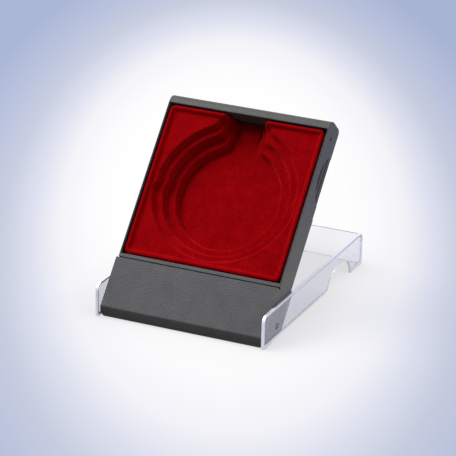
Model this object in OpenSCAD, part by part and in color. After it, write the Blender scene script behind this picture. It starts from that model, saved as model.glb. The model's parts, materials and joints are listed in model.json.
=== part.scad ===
// Flip-open coin and medal display case, shown standing open.
// A dark moulded tray leans back on its own clear lid, which lies behind it as the stand.
// X runs across the case, Y points away from the viewer, Z is up from the table top.
// The tray is drawn flat about the hinge axis, with y along it and z out of its open face,
// and is then leaned back. Drawn flat is also how it lies when the lid is closed over it.

/* [Medal seats] */
// Diameter of the largest medal or coin that the insert takes
medal_large = 70; // [66:0.5:71]
// Diameter of the middle medal
medal_middle = 60; // [56:0.5:64]
// Diameter of the smallest medal
medal_small = 50; // [40:0.5:54]
// Gap all round a medal on the floor of its seat
seat_fit = 0.3; // [0.1:0.05:0.6]
// How much wider the wall of a seat is at its lip than at its floor
seat_draft = 0.8; // [0.3:0.1:1.2]
// Depth of the seat for the largest medal
depth_large = 2.5; // [1.5:0.1:3]
// Depth of the seat for the middle medal, below the one above
depth_middle = 3.4; // [2:0.1:4]
// Depth of the seat for the smallest medal, below the one above
depth_small = 3.2; // [2:0.1:3.6]
// How much wider the lower half of the two upper seats is, to let a fingertip in
relief = 1; // [0.4:0.1:1.4]
// Distance of the centre of the seats from the lower edge of the opening
seat_up = 39.8; // [38.5:0.1:40.5]

/* [Insert] */
// Gap between the insert and the walls of the tray
insert_gap = 0.7; // [0.3:0.1:1]
// Thickness of the flocked sheet that the insert is formed from
sheet = 1; // [0.6:0.1:1.2]
// How far the flat field of the insert lies below the front edges of the tray
field_drop = 1.7; // [1.2:0.1:2.4]
// Width of the raised border round the field
border_w = 2.6; // [1.5:0.1:3]
// Height of the raised border above the field
border_h = 1; // [0.4:0.1:1.1]
// Corner radius of the insert
insert_corner = 3; // [1.5:0.5:5]
// Corner radius of the field inside the border
field_corner = 1.7; // [0.5:0.1:4]
// Width of the ribbon channel at the top of the smallest seat
channel_w = 16; // [12:0.5:18]
// How much wider the channel is on each side, at each ledge that it passes
channel_flare = 2.4; // [1.5:0.1:3]
// Radius where the wall of a seat turns into the channel
channel_r = 3; // [1:0.5:4]
// How far the deep part of the channel stops below the upper edge of the opening
channel_stop = 4.6; // [3.5:0.1:6]
// Side of the square adhesive pads under the insert
pad = 12; // [6:0.5:16]
// Thickness of the pads
pad_t = 1.4; // [0.5:0.1:2]
// Distance of the centre of each pad from the centre of the seats, both ways
pad_place = 11; // [9:0.5:12]

/* [Tray] */
// Width of the opening between the side walls
opening_w = 82; // [80:0.5:90]
// Length of the opening, from the front cover's side to the top end
opening_l = 79.2; // [78:0.1:86]
// Thickness of the side walls
side_wall = 0.8; // [0.8:0.1:1.4]
// Thickness of the top end wall
end_wall = 5.2; // [4:0.1:7]
// Thickness of the back
back_wall = 1.3; // [1:0.1:1.6]
// Distance of the back from the hinge axis
back_offset = 7.2; // [6.5:0.1:8]
// Radius of the front edge of the top end
nose_r = 5; // [2:0.5:6]
// Radius of the back edge of the top end
tail_r = 2.5; // [1:0.5:3.5]
// Distance of the lower edge of the opening from the hinge axis
opening_up = 18.3; // [17.5:0.1:22]
// Width of the strip that shows between the opening and the front cover
strip_w = 2.2; // [1.2:0.1:3]
// Thickness of the wall between the insert and the hinge end
bulkhead = 3.2; // [3.1:0.1:4]
// Extra depth of the lower part of the back, the heel
heel_step = 0.6; // [0.3:0.1:1]
// Distance of the top of the heel from the hinge axis
heel_up = 56.6; // [40:0.5:70]
// Width of the rim that the heel makes along each side
heel_w = 6; // [3:0.5:12]
// Distance from the hinge axis at which the rim begins
heel_low = 10; // [8:0.5:16]

/* [Grip] */
// Distance of the middle of the side grips from the hinge axis
grip_up = 75.5; // [70:0.5:80]
// Length of each grip along the back edge
grip_l = 24; // [16:0.5:30]
// Height of each grip from the back edge
grip_h = 9.8; // [6:0.1:12]
// Depth of the grip's hollow in the side wall
grip_sink = 0.25; // [0.1:0.05:0.35]
// Spacing of the ribs on the grip
rib_pitch = 1.5; // [1:0.1:3]
// Width of one rib
rib_w = 0.6; // [0.3:0.1:0.8]

/* [Front cover] */
// Thickness of the cover, which stands proud of the tray's front edges
cover_t = 2; // [1.4:0.1:2.6]
// Distance of the lower end of the case from the hinge axis
toe_reach = 13.3; // [12:0.1:14]
// Radius of the lower front edge
toe_r = 4; // [3:0.1:4.6]
// Distance of the pegs from the side walls of the tray
peg_side = 14; // [8:0.5:24]
// Distance of the pegs from the lower and the upper wall of the hinge end
peg_end = 3.6; // [3:0.1:6]
// Length of the pegs that hold the cover in the tray
peg_l = 4; // [2:0.5:6]
// Radius of the pegs
peg_r = 1.2; // [0.8:0.1:1.5]
// Gap round each peg in its socket
peg_fit = 0.05; // [0.02:0.01:0.1]
// Wall of the sockets that the pegs push into
socket_wall = 1.1; // [0.8:0.1:1.6]

/* [Lid and stand] */
// Thickness of the lid's side and end walls
lid_wall = 1.4; // [1:0.1:2]
// Thickness of the lid's panel
lid_panel = 1.4; // [1:0.1:1.8]
// Gap between the tray and the lid on each side
side_gap = 0.2; // [0.2:0.05:0.4]
// Gap between the top end of the tray and the lid's end wall when closed
end_gap = 0.5; // [0.4:0.1:1.5]
// Gap between the front edges of the tray and the lid's panel when closed
panel_gap = 1.4; // [1:0.1:2]
// Height of the hinge axis above the feet of the lid
pin_up = 6.5; // [6:0.1:7]
// How far the ears reach past the hinge axis
ear_reach = 15.4; // [14.5:0.1:17]
// Radius of the upper front corner of the ears
ear_r = 4; // [2:0.5:6]
// Radius of the lower front corner of the ears
ear_toe_r = 2; // [1:0.5:3]
// Radius of the lid's far upper edge
lid_edge_r = 3.5; // [1.6:0.1:4]
// How much higher the rim of each side is between its ear's foot and the far foot
rim_lift = 1.3; // [0.6:0.1:1.6]
// Length of the foot under each ear
ear_foot = 9.9; // [6:0.1:12]
// Length of the finger notch in each side of the rim
notch_l = 29; // [20:0.5:32]
// Depth of the finger notch
notch_h = 8.8; // [6:0.1:10.5]
// Radius of the snap pip inside each side of the lid
snap_r = 0.9; // [0.6:0.1:1.2]
// Height of the snap pip
snap_h = 0.2; // [0.1:0.05:0.2]
// Distance of the snap from the hinge axis
snap_up = 95.5; // [92:0.1:98]
// Height of the snap above the hinge axis when the case is closed
snap_z = 1; // [-2:0.1:3]

/* [Hinge] */
// Angle at which the tray leans back from upright when it stands open
lean = 41; // [38:0.5:44]
// Gap between the tray's back and the lid's panel when it stands open
stop_gap = 0.1; // [0.05:0.05:0.3]
// Height of the tray's foot above the table
foot_gap = 0.2; // [0.1:0.1:0.8]
// Radius of the hinge pins
pin_r = 1.5; // [1:0.1:2]
// Gap between a pin and the hole in its ear
pin_fit = 0.05; // [0.02:0.01:0.1]
// Length of each pin inside the tray
pin_grip = 5; // [3:0.5:8]
// Wall of the bosses that hold the pins
boss_wall = 1.5; // [1:0.1:2.2]

/* [Hidden] */

$fn = 96;
eps = 0.01;         // how far a cut runs past the face that it opens
big = 400;          // larger than the case every way
socket_fit = 0.01;  // gap round a pin in its boss

// Sizes of the tray, with y from the hinge axis and z from the hinge axis
tray_w = opening_w + 2 * side_wall;
seats_depth = depth_large + depth_middle + depth_small;
tray_depth = back_wall + pad_t + sheet + seats_depth + field_drop;
back_z = -back_offset;
bezel_z = tray_depth - back_offset;
cover_z = bezel_z + cover_t;
heel_z = back_z - heel_step;
floor_z = back_z + back_wall;
opening_top = opening_up + opening_l;
tray_top = opening_top + end_wall;
cover_top = opening_up - strip_w;
hollow_low = cover_t + back_wall - toe_reach;
hollow_high = opening_up - bulkhead;
peg_x = opening_w / 2 - peg_side;
peg_y = [hollow_low + peg_end, hollow_high - peg_end];

// Sizes of the insert
insert_w = opening_w - 2 * insert_gap;
insert_l = opening_l - 2 * insert_gap;
insert_y = opening_up + insert_gap;
seat_y = opening_up + seat_up;
field_z = bezel_z - field_drop;
border_z = field_z + border_h;
ledge_1 = field_z - depth_large;
ledge_2 = ledge_1 - depth_middle;
ledge_3 = ledge_2 - depth_small;
seat_r = [for (d = [medal_large, medal_middle, medal_small]) d / 2 + seat_fit];
ledges = [ledge_1, ledge_2, ledge_3];
mouths = [field_z, ledge_1, ledge_2];
channel_end = opening_top - channel_stop;

// Sizes of the lid, with z from the hinge axis
foot_z = -pin_up;
panel_under = bezel_z + panel_gap;
lid_top = panel_under + lid_panel;
lid_h = lid_top - foot_z;
lid_in = tray_w + 2 * side_gap;
lid_w = lid_in + 2 * lid_wall;
lid_in_end = tray_top + end_gap;
lid_end = lid_in_end + lid_wall;

// The leaned tray's back plane meets the level of the lid's panel here
lean_tan = sin(lean) / cos(lean);
stop_y = (back_offset + heel_step) / cos(lean) + lid_top * lean_tan;
panel_y = stop_y + stop_gap / cos(lean);

// Place of the hinge axis, so that the origin is under the middle of the case
hinge_y = (ear_reach - lid_end) / 2;
hinge_z = pin_up;

// Moves what is drawn about the hinge axis to its place on the table
module at_hinge() {
    translate([0, hinge_y, hinge_z]) children();
}

// Leans what is drawn flat back about the hinge axis
module leaned() {
    at_hinge() rotate([90 - lean, 0, 0]) children();
}

// Extrudes a profile drawn in y and z across the case
module across(width) {
    rotate([90, 0, 90]) linear_extrude(width, center = true) children();
}

// The corner that a radius takes off, at the origin, pointing to +x and +y
module corner_cut(r) {
    difference() {
        translate([-r, -r]) square(r + eps);
        translate([-r, -r]) circle(r);
    }
}

// A rectangle with rounded corners, from its lower left corner
module rounded(w, l, r) {
    translate([r, 0]) square([w - 2 * r, l]);
    translate([0, r]) square([w, l - 2 * r]);
    for (x = [r, w - r], y = [r, l - r]) translate([x, y]) circle(r);
}

// An ellipse with the half axes a and b
module oval(a, b) {
    polygon([for (k = [0 : 5 : 355]) [a * cos(k), b * sin(k)]]);
}

// Everything above the level of the tray's foot, in the leaned tray's own axes
module above_foot() {
    rotate([lean - 90, 0, 0])
        translate([-big / 2, -big / 2, foot_gap - pin_up]) cube([big, big, big]);
}

// Profile of the tray's walls, from the inside of the front cover to the top end
module tray_profile() {
    difference() {
        union() {
            translate([cover_t - toe_reach, back_z])
                square([tray_top + toe_reach - cover_t, tray_depth]);
            translate([cover_t - toe_reach, heel_z])
                square([heel_up + toe_reach - cover_t, tray_depth]);
        }
        translate([tray_top, bezel_z]) corner_cut(nose_r);
        translate([tray_top, back_z]) mirror([0, 1]) corner_cut(tail_r);
    }
}

// The hollow of the hinge end, which the front cover closes
module hinge_hollow() {
    intersection() {
        translate([-opening_w / 2, hollow_low, floor_z - heel_step])
            cube([opening_w, hollow_high - hollow_low, tray_depth + heel_step]);
        rotate([lean - 90, 0, 0])
            translate([-big / 2, -big / 2, foot_gap - pin_up + back_wall]) cube([big, big, big]);
    }
}

// Grip hollow in the right side wall, with its ribs left standing
module grip_hollow() {
    half = grip_l / 2;
    translate([tray_w / 2 - grip_sink, grip_up, back_z]) difference() {
        rotate([0, 90, 0]) linear_extrude(grip_sink + eps) oval(grip_h, half);
        for (y = [-half : rib_pitch : half])
            translate([-eps, y - rib_w / 2, -grip_h])
                cube([grip_sink + 2 * eps, rib_w, 2 * grip_h]);
    }
}

module tray() {
    color([0.23, 0.23, 0.24]) leaned() difference() {
        union() {
            intersection() {
                difference() {
                    across(tray_w) tray_profile();
                    translate([-opening_w / 2, opening_up, floor_z])
                        cube([opening_w, opening_l, tray_depth]);
                    hinge_hollow();
                    heel_hollow();
                }
                above_foot();
            }
            for (side = [-1, 1]) pin_boss(side);
            peg_sockets();
        }
        rotate([0, 90, 0]) cylinder(tray_w + 1, r = pin_r + socket_fit, center = true);
        for (x = [-peg_x, peg_x], y = peg_y)
            translate([x, y, bezel_z - peg_l - peg_fit]) cylinder(peg_l + 1, r = peg_r + peg_fit);
        for (side = [0, 1]) mirror([side, 0, 0]) {
            grip_hollow();
            translate([tray_w / 2 - snap_h, snap_up, snap_z]) rotate([0, 90, 0])
                cylinder(snap_h + eps, r = snap_r + side_gap);
        }
    }
}

// Posts inside the hinge end, up to the front cover, that its pegs push into
module peg_sockets() {
    intersection() {
        for (x = [-peg_x, peg_x], y = peg_y)
            translate([x, y, heel_z]) cylinder(bezel_z - heel_z, r = peg_r + socket_wall);
        above_foot();
    }
}

// The heel only shows as a rim along both sides and the foot
module heel_hollow() {
    translate([heel_w - tray_w / 2, heel_low, heel_z - eps])
        cube([tray_w - 2 * heel_w, heel_up, heel_step + eps]);
}

// One pin boss on the inside of a side wall
module pin_boss(side) {
    translate([side * (tray_w / 2 - pin_grip / 2), 0, 0]) rotate([0, 90, 0])
        cylinder(pin_grip, r = pin_r + boss_wall, center = true);
}

module front_cover() {
    color([0.27, 0.27, 0.28]) leaned() {
        intersection() {
            across(tray_w) difference() {
                translate([-toe_reach, -pin_up - cover_t])
                    square([cover_top + toe_reach, cover_z + pin_up + cover_t]);
                translate([cover_t - toe_reach, -pin_up - cover_t - eps])
                    square([cover_top + toe_reach, bezel_z + pin_up + cover_t + eps]);
                translate([-toe_reach, cover_z]) mirror([1, 0]) corner_cut(toe_r);
            }
            above_foot();
        }
        for (x = [-peg_x, peg_x], y = peg_y)
            translate([x, y, bezel_z - peg_l]) cylinder(peg_l + cover_t / 2, r = peg_r);
    }
}

// Outline of the insert, drawn in all round and with the corner radius r
module insert_outline(inset, r) {
    translate([inset - insert_w / 2, insert_y + inset])
        rounded(insert_w - 2 * inset, insert_l - 2 * inset, r);
}

// Plan of the throat where a round seat opens into a channel, with its rounded corners
module throat(seat, half, r) {
    turn = [half + r, sqrt((seat + r) * (seat + r) - (half + r) * (half + r))];
    touch = turn * seat / (seat + r);
    difference() {
        translate([-touch[0], touch[1]]) square([2 * touch[0], turn[1] - touch[1]]);
        for (side = [-1, 1]) translate([side * turn[0], turn[1]]) circle(r);
    }
}

// The stepped hollow of the seats, grown outwards by a sheet's thickness
module seats(grow) {
    for (i = [0, 1, 2]) {
        low = ledges[i] - grow;
        high = mouths[i] + eps;
        translate([0, seat_y, low])
            cylinder(high - low, r1 = seat_r[i] + grow, r2 = seat_r[i] + seat_draft + grow);
    }
    for (i = [0, 1]) {
        low = ledges[i] - grow;
        high = mouths[i] + eps;
        translate([0, seat_y, low]) intersection() {
            cylinder(high - low, r = seat_r[i] + seat_draft + relief + grow);
            translate([-big / 2, -big, 0]) cube([big, big, high - low]);
        }
    }
    for (i = [0, 1, 2]) {
        half = channel_w / 2 + (2 - i) * channel_flare + grow;
        low = ledges[i] - grow;
        high = (i == 0 ? border_z : mouths[i]) + eps;
        end = i == 2 ? channel_end + grow : insert_y + insert_l + 1;
        translate([-half, seat_y, low]) cube([2 * half, end - seat_y, high - low]);
        translate([0, seat_y, low]) linear_extrude(mouths[i] + eps - low)
            throat(seat_r[i] + seat_draft / 2 + grow, half, channel_r - grow);
    }
}

module insert() {
    color([0.6, 0.02, 0.05]) leaned() difference() {
        union() {
            translate([0, 0, floor_z]) linear_extrude(field_z - floor_z)
                insert_outline(0, insert_corner);
            translate([0, 0, field_z - eps]) linear_extrude(border_h + eps) difference() {
                insert_outline(0, insert_corner);
                insert_outline(border_w, field_corner);
            }
        }
        seats(0);
        difference() {
            translate([0, 0, floor_z - eps]) linear_extrude(field_z - sheet - floor_z + eps)
                insert_outline(sheet, insert_corner - sheet);
            seats(sheet);
        }
    }
}

module adhesive_pads() {
    color([0.85, 0.85, 0.82]) leaned()
        for (x = [-pad_place, pad_place], y = [-pad_place, pad_place])
            translate([x - pad / 2, seat_y + y - pad / 2, floor_z])
                cube([pad, pad, ledge_3 - sheet - floor_z]);
}

module hinge_pins() {
    reach = pin_grip + side_gap + lid_wall;
    color([0.2, 0.2, 0.21]) leaned()
        for (side = [-1, 1])
            translate([side * (tray_w / 2 - pin_grip + reach / 2), 0, 0]) rotate([0, 90, 0])
                cylinder(reach, r = pin_r, center = true);
}

// Side of the lid: a wall with an ear in front, and a finger notch in its raised rim
module lid_side() {
    foot_end = ear_foot - ear_reach;
    notch_end = grip_up + notch_l / 2;
    difference() {
        translate([-ear_reach, foot_z]) square([lid_end + ear_reach, lid_h]);
        translate([lid_end, lid_top]) corner_cut(lid_edge_r);
        translate([-ear_reach, lid_top]) mirror([1, 0]) corner_cut(ear_r);
        translate([-ear_reach, foot_z]) mirror([1, 0]) mirror([0, 1]) corner_cut(ear_toe_r);
        translate([foot_end, foot_z - eps]) square([notch_end - foot_end, rim_lift + eps]);
        translate([grip_up, foot_z + rim_lift]) oval(notch_l / 2, notch_h);
        circle(pin_r + pin_fit);
    }
}

// Panel of the lid, whose near edge is sloped to lie against the leaning tray
module lid_panel_profile() {
    difference() {
        polygon([
            [panel_y, lid_top],
            [panel_y - lid_panel * lean_tan, panel_under],
            [lid_end, panel_under],
            [lid_end, lid_top]
        ]);
        translate([lid_end, lid_top]) corner_cut(lid_edge_r);
    }
}

// End wall of the lid, with its outer edge rounded and its inner corner filled
module lid_end_profile() {
    inner_r = lid_edge_r - lid_wall;
    difference() {
        union() {
            translate([lid_in_end, foot_z]) square([lid_wall, lid_h]);
            translate([lid_in_end - inner_r, panel_under - inner_r])
                square([inner_r + eps, inner_r + eps]);
        }
        translate([lid_in_end - inner_r, panel_under - inner_r]) circle(inner_r);
        translate([lid_end, lid_top]) corner_cut(lid_edge_r);
    }
}

module lid() {
    color([0.85, 0.87, 0.9, 0.4]) at_hinge() {
        for (side = [-1, 1])
            translate([side * (lid_w - lid_wall) / 2, 0, 0]) across(lid_wall) lid_side();
        across(lid_w - lid_wall) lid_panel_profile();
        across(lid_w - lid_wall) lid_end_profile();
        for (side = [-1, 1])
            translate([side * (lid_in / 2 - snap_h / 2), snap_up, snap_z]) rotate([0, 90, 0])
                cylinder(snap_h + eps, r = snap_r, center = true);
    }
}

tray();
front_cover();
insert();
adhesive_pads();
hinge_pins();
lid();
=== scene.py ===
# %% [markdown]
# # A flip-open coin case, finished piece by piece
# The case stands open: a dark moulded tray leans back on its own clear lid, and a red
# flocked insert holds a round coin or medal in one of three stepped seats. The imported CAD
# model gives the frame, the hinge and the sizes. Each step below adds one piece or one
# finish in the same frame, in metres, so nothing has to be fitted afterwards.

# %% Load the frame
import json
import math

import bmesh
import bpy
import numpy as np
from mathutils import Matrix, Vector


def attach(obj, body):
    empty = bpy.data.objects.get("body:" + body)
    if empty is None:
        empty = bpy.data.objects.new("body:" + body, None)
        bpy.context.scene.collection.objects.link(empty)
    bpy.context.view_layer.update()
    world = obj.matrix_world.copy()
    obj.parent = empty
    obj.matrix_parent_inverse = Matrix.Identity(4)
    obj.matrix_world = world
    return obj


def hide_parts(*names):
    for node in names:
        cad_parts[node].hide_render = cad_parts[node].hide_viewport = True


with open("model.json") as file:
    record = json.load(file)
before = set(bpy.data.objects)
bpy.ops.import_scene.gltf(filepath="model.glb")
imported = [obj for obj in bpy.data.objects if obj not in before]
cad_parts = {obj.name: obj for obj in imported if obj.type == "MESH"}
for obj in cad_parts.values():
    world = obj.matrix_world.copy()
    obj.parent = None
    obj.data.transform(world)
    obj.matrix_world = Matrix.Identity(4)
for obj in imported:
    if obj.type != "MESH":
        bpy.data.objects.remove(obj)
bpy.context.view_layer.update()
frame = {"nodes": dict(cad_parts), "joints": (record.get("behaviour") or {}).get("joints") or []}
bpy.context.scene.view_settings.view_transform = "Standard"

# %% [markdown]
# ## Two ways to lie
# The tray is easiest to draw flat, as it lies when the case is shut: x across, y from the
# hinge pin towards the top end, z out of the open face, all in millimetres. One matrix then
# leans it back and sets it on its hinge. The lid stays level, so its own matrix only moves.

# %% Places of the tray and the lid
MM = 0.001
LEAN = math.radians(41)
hinge = Vector(frame["joints"][0]["pos_m"])
LEVEL = Matrix.Translation(hinge) @ Matrix.Scale(MM, 4)
LEANED = (Matrix.Translation(hinge) @ Matrix.Rotation(math.pi / 2 - LEAN, 4, "X")
          @ Matrix.Scale(MM, 4))
print("hinge pin at", [round(c / MM, 1) for c in hinge], "mm")

# %% [markdown]
# ## The camera
# The picture is taken from the right and a little above, with a long lens from more than a
# metre away. The turn, the height and the roll were worked out from the corners of the
# tray, so they are given here as angles, and the place follows from the distance.

# %% Set up the camera
SENSOR_MM, FRAME_PX = 36, 456


def aim_camera(turn, height, roll, distance, focal_px, shift_x, shift_y):
    """A camera that looks past the hinge pin, shift_x and shift_y pixels away from it."""
    turn, height, roll = (math.radians(a) for a in (turn, height, roll))
    back = Vector((math.sin(turn) * math.cos(height),
                   -math.cos(turn) * math.cos(height), math.sin(height)))
    level = Vector((math.cos(turn), math.sin(turn), 0))
    rise = back.cross(level)
    right = level * math.cos(roll) + rise * math.sin(roll)
    up = rise * math.cos(roll) - level * math.sin(roll)
    step = distance / focal_px
    place = hinge + distance * back - shift_x * step * right + shift_y * step * up
    lens = bpy.data.cameras.new("view_camera")
    lens.sensor_width, lens.lens = SENSOR_MM, focal_px * SENSOR_MM / FRAME_PX
    lens.clip_start, lens.clip_end = 0.05, 20
    camera = bpy.data.objects.new("view_camera", lens)
    camera.matrix_world = Matrix((right, up, back)).transposed().to_4x4()
    camera.matrix_world.translation = place
    bpy.context.scene.collection.objects.link(camera)
    bpy.context.scene.camera = camera
    return camera


camera = aim_camera(turn=24.261, height=21.626, roll=1.231, distance=1.280227,
                    focal_px=2728.656, shift_x=-35.321, shift_y=81.154)
print("camera at", [round(c, 3) for c in camera.location], "lens", round(camera.data.lens), "mm")

# %% [markdown]
# ## Helpers for finishes
# A finish is a small network of nodes. These helpers add a node, join it up and hand back
# what comes out, so each finish below reads as a list of what it is made of.

# %% Helpers for node networks
def node(tree, kind, settings=None, **inputs):
    """Adds a node. Settings are its own options, inputs are numbers or other nodes' sockets."""
    made = tree.nodes.new(kind)
    for name, value in (settings or {}).items():
        setattr(made, name, value)
    for name, value in inputs.items():
        socket = made.inputs[int(name[1:]) if name[1:].isdigit() else name.replace("_", " ")]
        if isinstance(value, bpy.types.NodeSocket):
            tree.links.new(value, socket)
        else:
            socket.default_value = value
    return made


def new_finish(name, **fixed):
    """A finish with plain numbers set on its shader. Gives the material, tree, shader and place."""
    finish = bpy.data.materials.new(name)
    finish.use_nodes = True
    tree = finish.node_tree
    shader = tree.nodes["Principled BSDF"]
    for socket, value in fixed.items():
        shader.inputs[socket.replace("_", " ")].default_value = value
    place = node(tree, "ShaderNodeTexCoord").outputs["Object"]
    return finish, tree, shader, place


def grain(tree, place, size_mm, detail=2.0, rough=0.5, seed=0.0):
    """Cloudy noise whose blotches are about size_mm wide, from 0 to 1."""
    return node(tree, "ShaderNodeTexNoise", {"noise_dimensions": "4D"}, Vector=place, W=seed,
                Scale=1 / (size_mm * MM), Detail=detail, Roughness=rough).outputs["Fac"]


def ramp(tree, value, *stops):
    """Turns a number into a colour, through (place, colour) stops."""
    made = node(tree, "ShaderNodeValToRGB", Fac=value)
    elements = made.color_ramp.elements
    while len(elements) < len(stops):
        elements.new(0.5)
    for element, (place, colour) in zip(elements, stops):
        element.position = place
        element.color = (*colour, 1)
    return made.outputs["Color"]


def spread(tree, value, low, high, to_low, to_high):
    """Stretches a number from one range to another."""
    return node(tree, "ShaderNodeMapRange", Value=value, From_Min=low, From_Max=high,
                To_Min=to_low, To_Max=to_high).outputs["Result"]


def coat(tree, shader, colour, roughness=None):
    """Feeds a colour to the shader, and a roughness where it isn't even."""
    tree.links.new(colour, shader.inputs["Base Color"])
    if roughness is not None:
        tree.links.new(roughness, shader.inputs["Roughness"])


def relief(tree, shader, *layers):
    """Stacks bumps, each (height, depth in mm), and feeds them to the shader's normal."""
    below = None
    for height, depth in layers:
        bump = node(tree, "ShaderNodeBump", Height=height, Distance=depth * MM)
        if below is not None:
            tree.links.new(below, bump.inputs["Normal"])
        below = bump.outputs["Normal"]
    tree.links.new(below, shader.inputs["Normal"])


# %% [markdown]
# ## The floor
# The floor is white round the case and cooler towards the corners of the picture, a painted
# pool of light, so its colour is laid out as an oval that lies along the direction of the
# view. Most of its brightness is an even glow that only the camera, reflections and clear
# plastic can see. The rest is painted, and takes the soft shadow of the case. The glow lights
# nothing, so the dark lip of the cover stays as dark as it is over a real table. Where the case
# is close above the floor an ambient occlusion node darkens the glow a little, a painted
# contact shadow, and the glow is a little bluer than the paint, so the shadows turn violet.

# %% Lay the floor
GLOW, CONTACT, CONTACT_REACH = 0.855, 0.32, 0.032
GLOW_TINT, PAINT_TINT = (0.995, 1.0, 1.035), (0.125, 0.121, 0.092)
OVAL_TURN, OVAL_MIDDLE = math.radians(24.3), 0.117
OVAL_HALF_WIDTH, OVAL_HALF_LENGTH = 0.0989, 0.307


def join_math(tree, operation, first, second):
    """One sum of two numbers."""
    return node(tree, "ShaderNodeMath", {"operation": operation}, _0=first, _1=second).outputs[0]


def looking_rays(tree):
    """1 for rays that look, mirror or look through, 0 for light that falls on painted things."""
    path = node(tree, "ShaderNodeLightPath").outputs
    looks = join_math(tree, "MAXIMUM", path["Is Camera Ray"], path["Is Glossy Ray"])
    looks = join_math(tree, "MAXIMUM", looks, path["Is Transmission Ray"])
    direct = join_math(tree, "LESS_THAN", path["Diffuse Depth"], 0.5)
    return join_math(tree, "MULTIPLY", looks, direct)


def floor_finish():
    """A painted pool of light: white in the middle of the oval, pale blue outside it."""
    finish, tree, shader, place = new_finish("pale_floor")
    tree.nodes.remove(shader)
    middle = (-math.sin(OVAL_TURN) * OVAL_MIDDLE, math.cos(OVAL_TURN) * OVAL_MIDDLE, 0)
    oval = node(tree, "ShaderNodeMapping", {"vector_type": "TEXTURE"}, Vector=place,
                Location=middle, Rotation=(0, 0, OVAL_TURN),
                Scale=(OVAL_HALF_WIDTH, OVAL_HALF_LENGTH, 1))
    distance = node(tree, "ShaderNodeVectorMath", {"operation": "LENGTH"}, _0=oval.outputs[0])
    colour = ramp(tree, spread(tree, distance.outputs["Value"], 0, 1.6, 0, 1),
                  (0.375, (0.99, 0.99, 0.992)), (0.469, (0.959, 0.954, 0.983)),
                  (0.5625, (0.894, 0.889, 0.946)), (0.656, (0.713, 0.738, 0.857)),
                  (0.75, (0.57, 0.61, 0.743)), (0.844, (0.495, 0.545, 0.73)),
                  (1.0, (0.40, 0.465, 0.67)))
    # Painted contact shadow: the glow is darkened where the case is close above the floor.
    open_sky = node(tree, "ShaderNodeAmbientOcclusion", {"samples": 16},
                    Distance=CONTACT_REACH).outputs["AO"]
    near = spread(tree, open_sky, 0, 1, GLOW * (1 - CONTACT), GLOW)
    strength = join_math(tree, "MULTIPLY", looking_rays(tree), near)
    shade = node(tree, "ShaderNodeVectorMath", {"operation": "MULTIPLY"}, _0=colour, _1=PAINT_TINT)
    light = node(tree, "ShaderNodeVectorMath", {"operation": "MULTIPLY"}, _0=colour, _1=GLOW_TINT)
    paint = node(tree, "ShaderNodeBsdfDiffuse", Color=shade.outputs[0])
    glow = node(tree, "ShaderNodeEmission", Color=light.outputs[0], Strength=strength)
    both = node(tree, "ShaderNodeAddShader", _0=paint.outputs[0], _1=glow.outputs[0])
    tree.links.new(both.outputs[0], tree.nodes["Material Output"].inputs["Surface"])
    return finish


def lay_floor(half=4.0):
    """A square of floor that reaches well past the picture."""
    mesh = bpy.data.meshes.new("floor")
    mesh.from_pydata([(-half, -half, 0), (half, -half, 0), (half, half, 0), (-half, half, 0)],
                     [], [(0, 1, 2, 3)])
    floor = bpy.data.objects.new("floor", mesh)
    bpy.context.scene.collection.objects.link(floor)
    mesh.materials.append(floor_finish())


lay_floor()

# %% [markdown]
# ## Light
# The picture is lit from above, a little from the left: the upper and the left walls of the
# seats are dark, the lower and the right ones bright, and the lip of the cover, which faces
# the camera, gets hardly any light. So the main light is a large soft box that hangs high on
# the left, and a weak one on the right lifts the side of the tray. The room gives a weak even
# light, but reflections see it as white, which is what clear plastic shows.

# %% Hang the lights
def soft_box(name, place, aim, size, power, colour):
    """A square area lamp at place that faces aim."""
    lamp = bpy.data.lights.new(name, "AREA")
    lamp.shape, lamp.size, lamp.size_y = "RECTANGLE", size[0], size[1]
    lamp.energy, lamp.color = power, colour
    box = bpy.data.objects.new(name, lamp)
    box.location = place
    box.rotation_euler = (Vector(aim) - Vector(place)).to_track_quat("-Z", "Y").to_euler()
    bpy.context.scene.collection.objects.link(box)


soft_box("high_left_light", place=(-0.95, -0.05, 1.12), aim=(0, 0, 0.03), size=(0.9, 0.9),
         power=30.5, colour=(1, 0.995, 0.985))
soft_box("side_light", place=(1.2, -0.1, 0.5), aim=(0, 0, 0.04), size=(0.7, 0.6),
         power=4.5, colour=(1, 0.965, 0.925))


def light_room(even, seen):
    """An even weak light for painted surfaces, white for what mirrors or looks through."""
    room = bpy.data.worlds.new("room")
    bpy.context.scene.world = room
    room.use_nodes = True
    tree = room.node_tree
    sky = tree.nodes["Background"]
    sky.inputs["Color"].default_value = (0.985, 0.985, 1.0, 1)
    tree.links.new(spread(tree, looking_rays(tree), 0, 1, even, seen), sky.inputs["Strength"])


light_room(even=0.16, seen=1.0)
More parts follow.
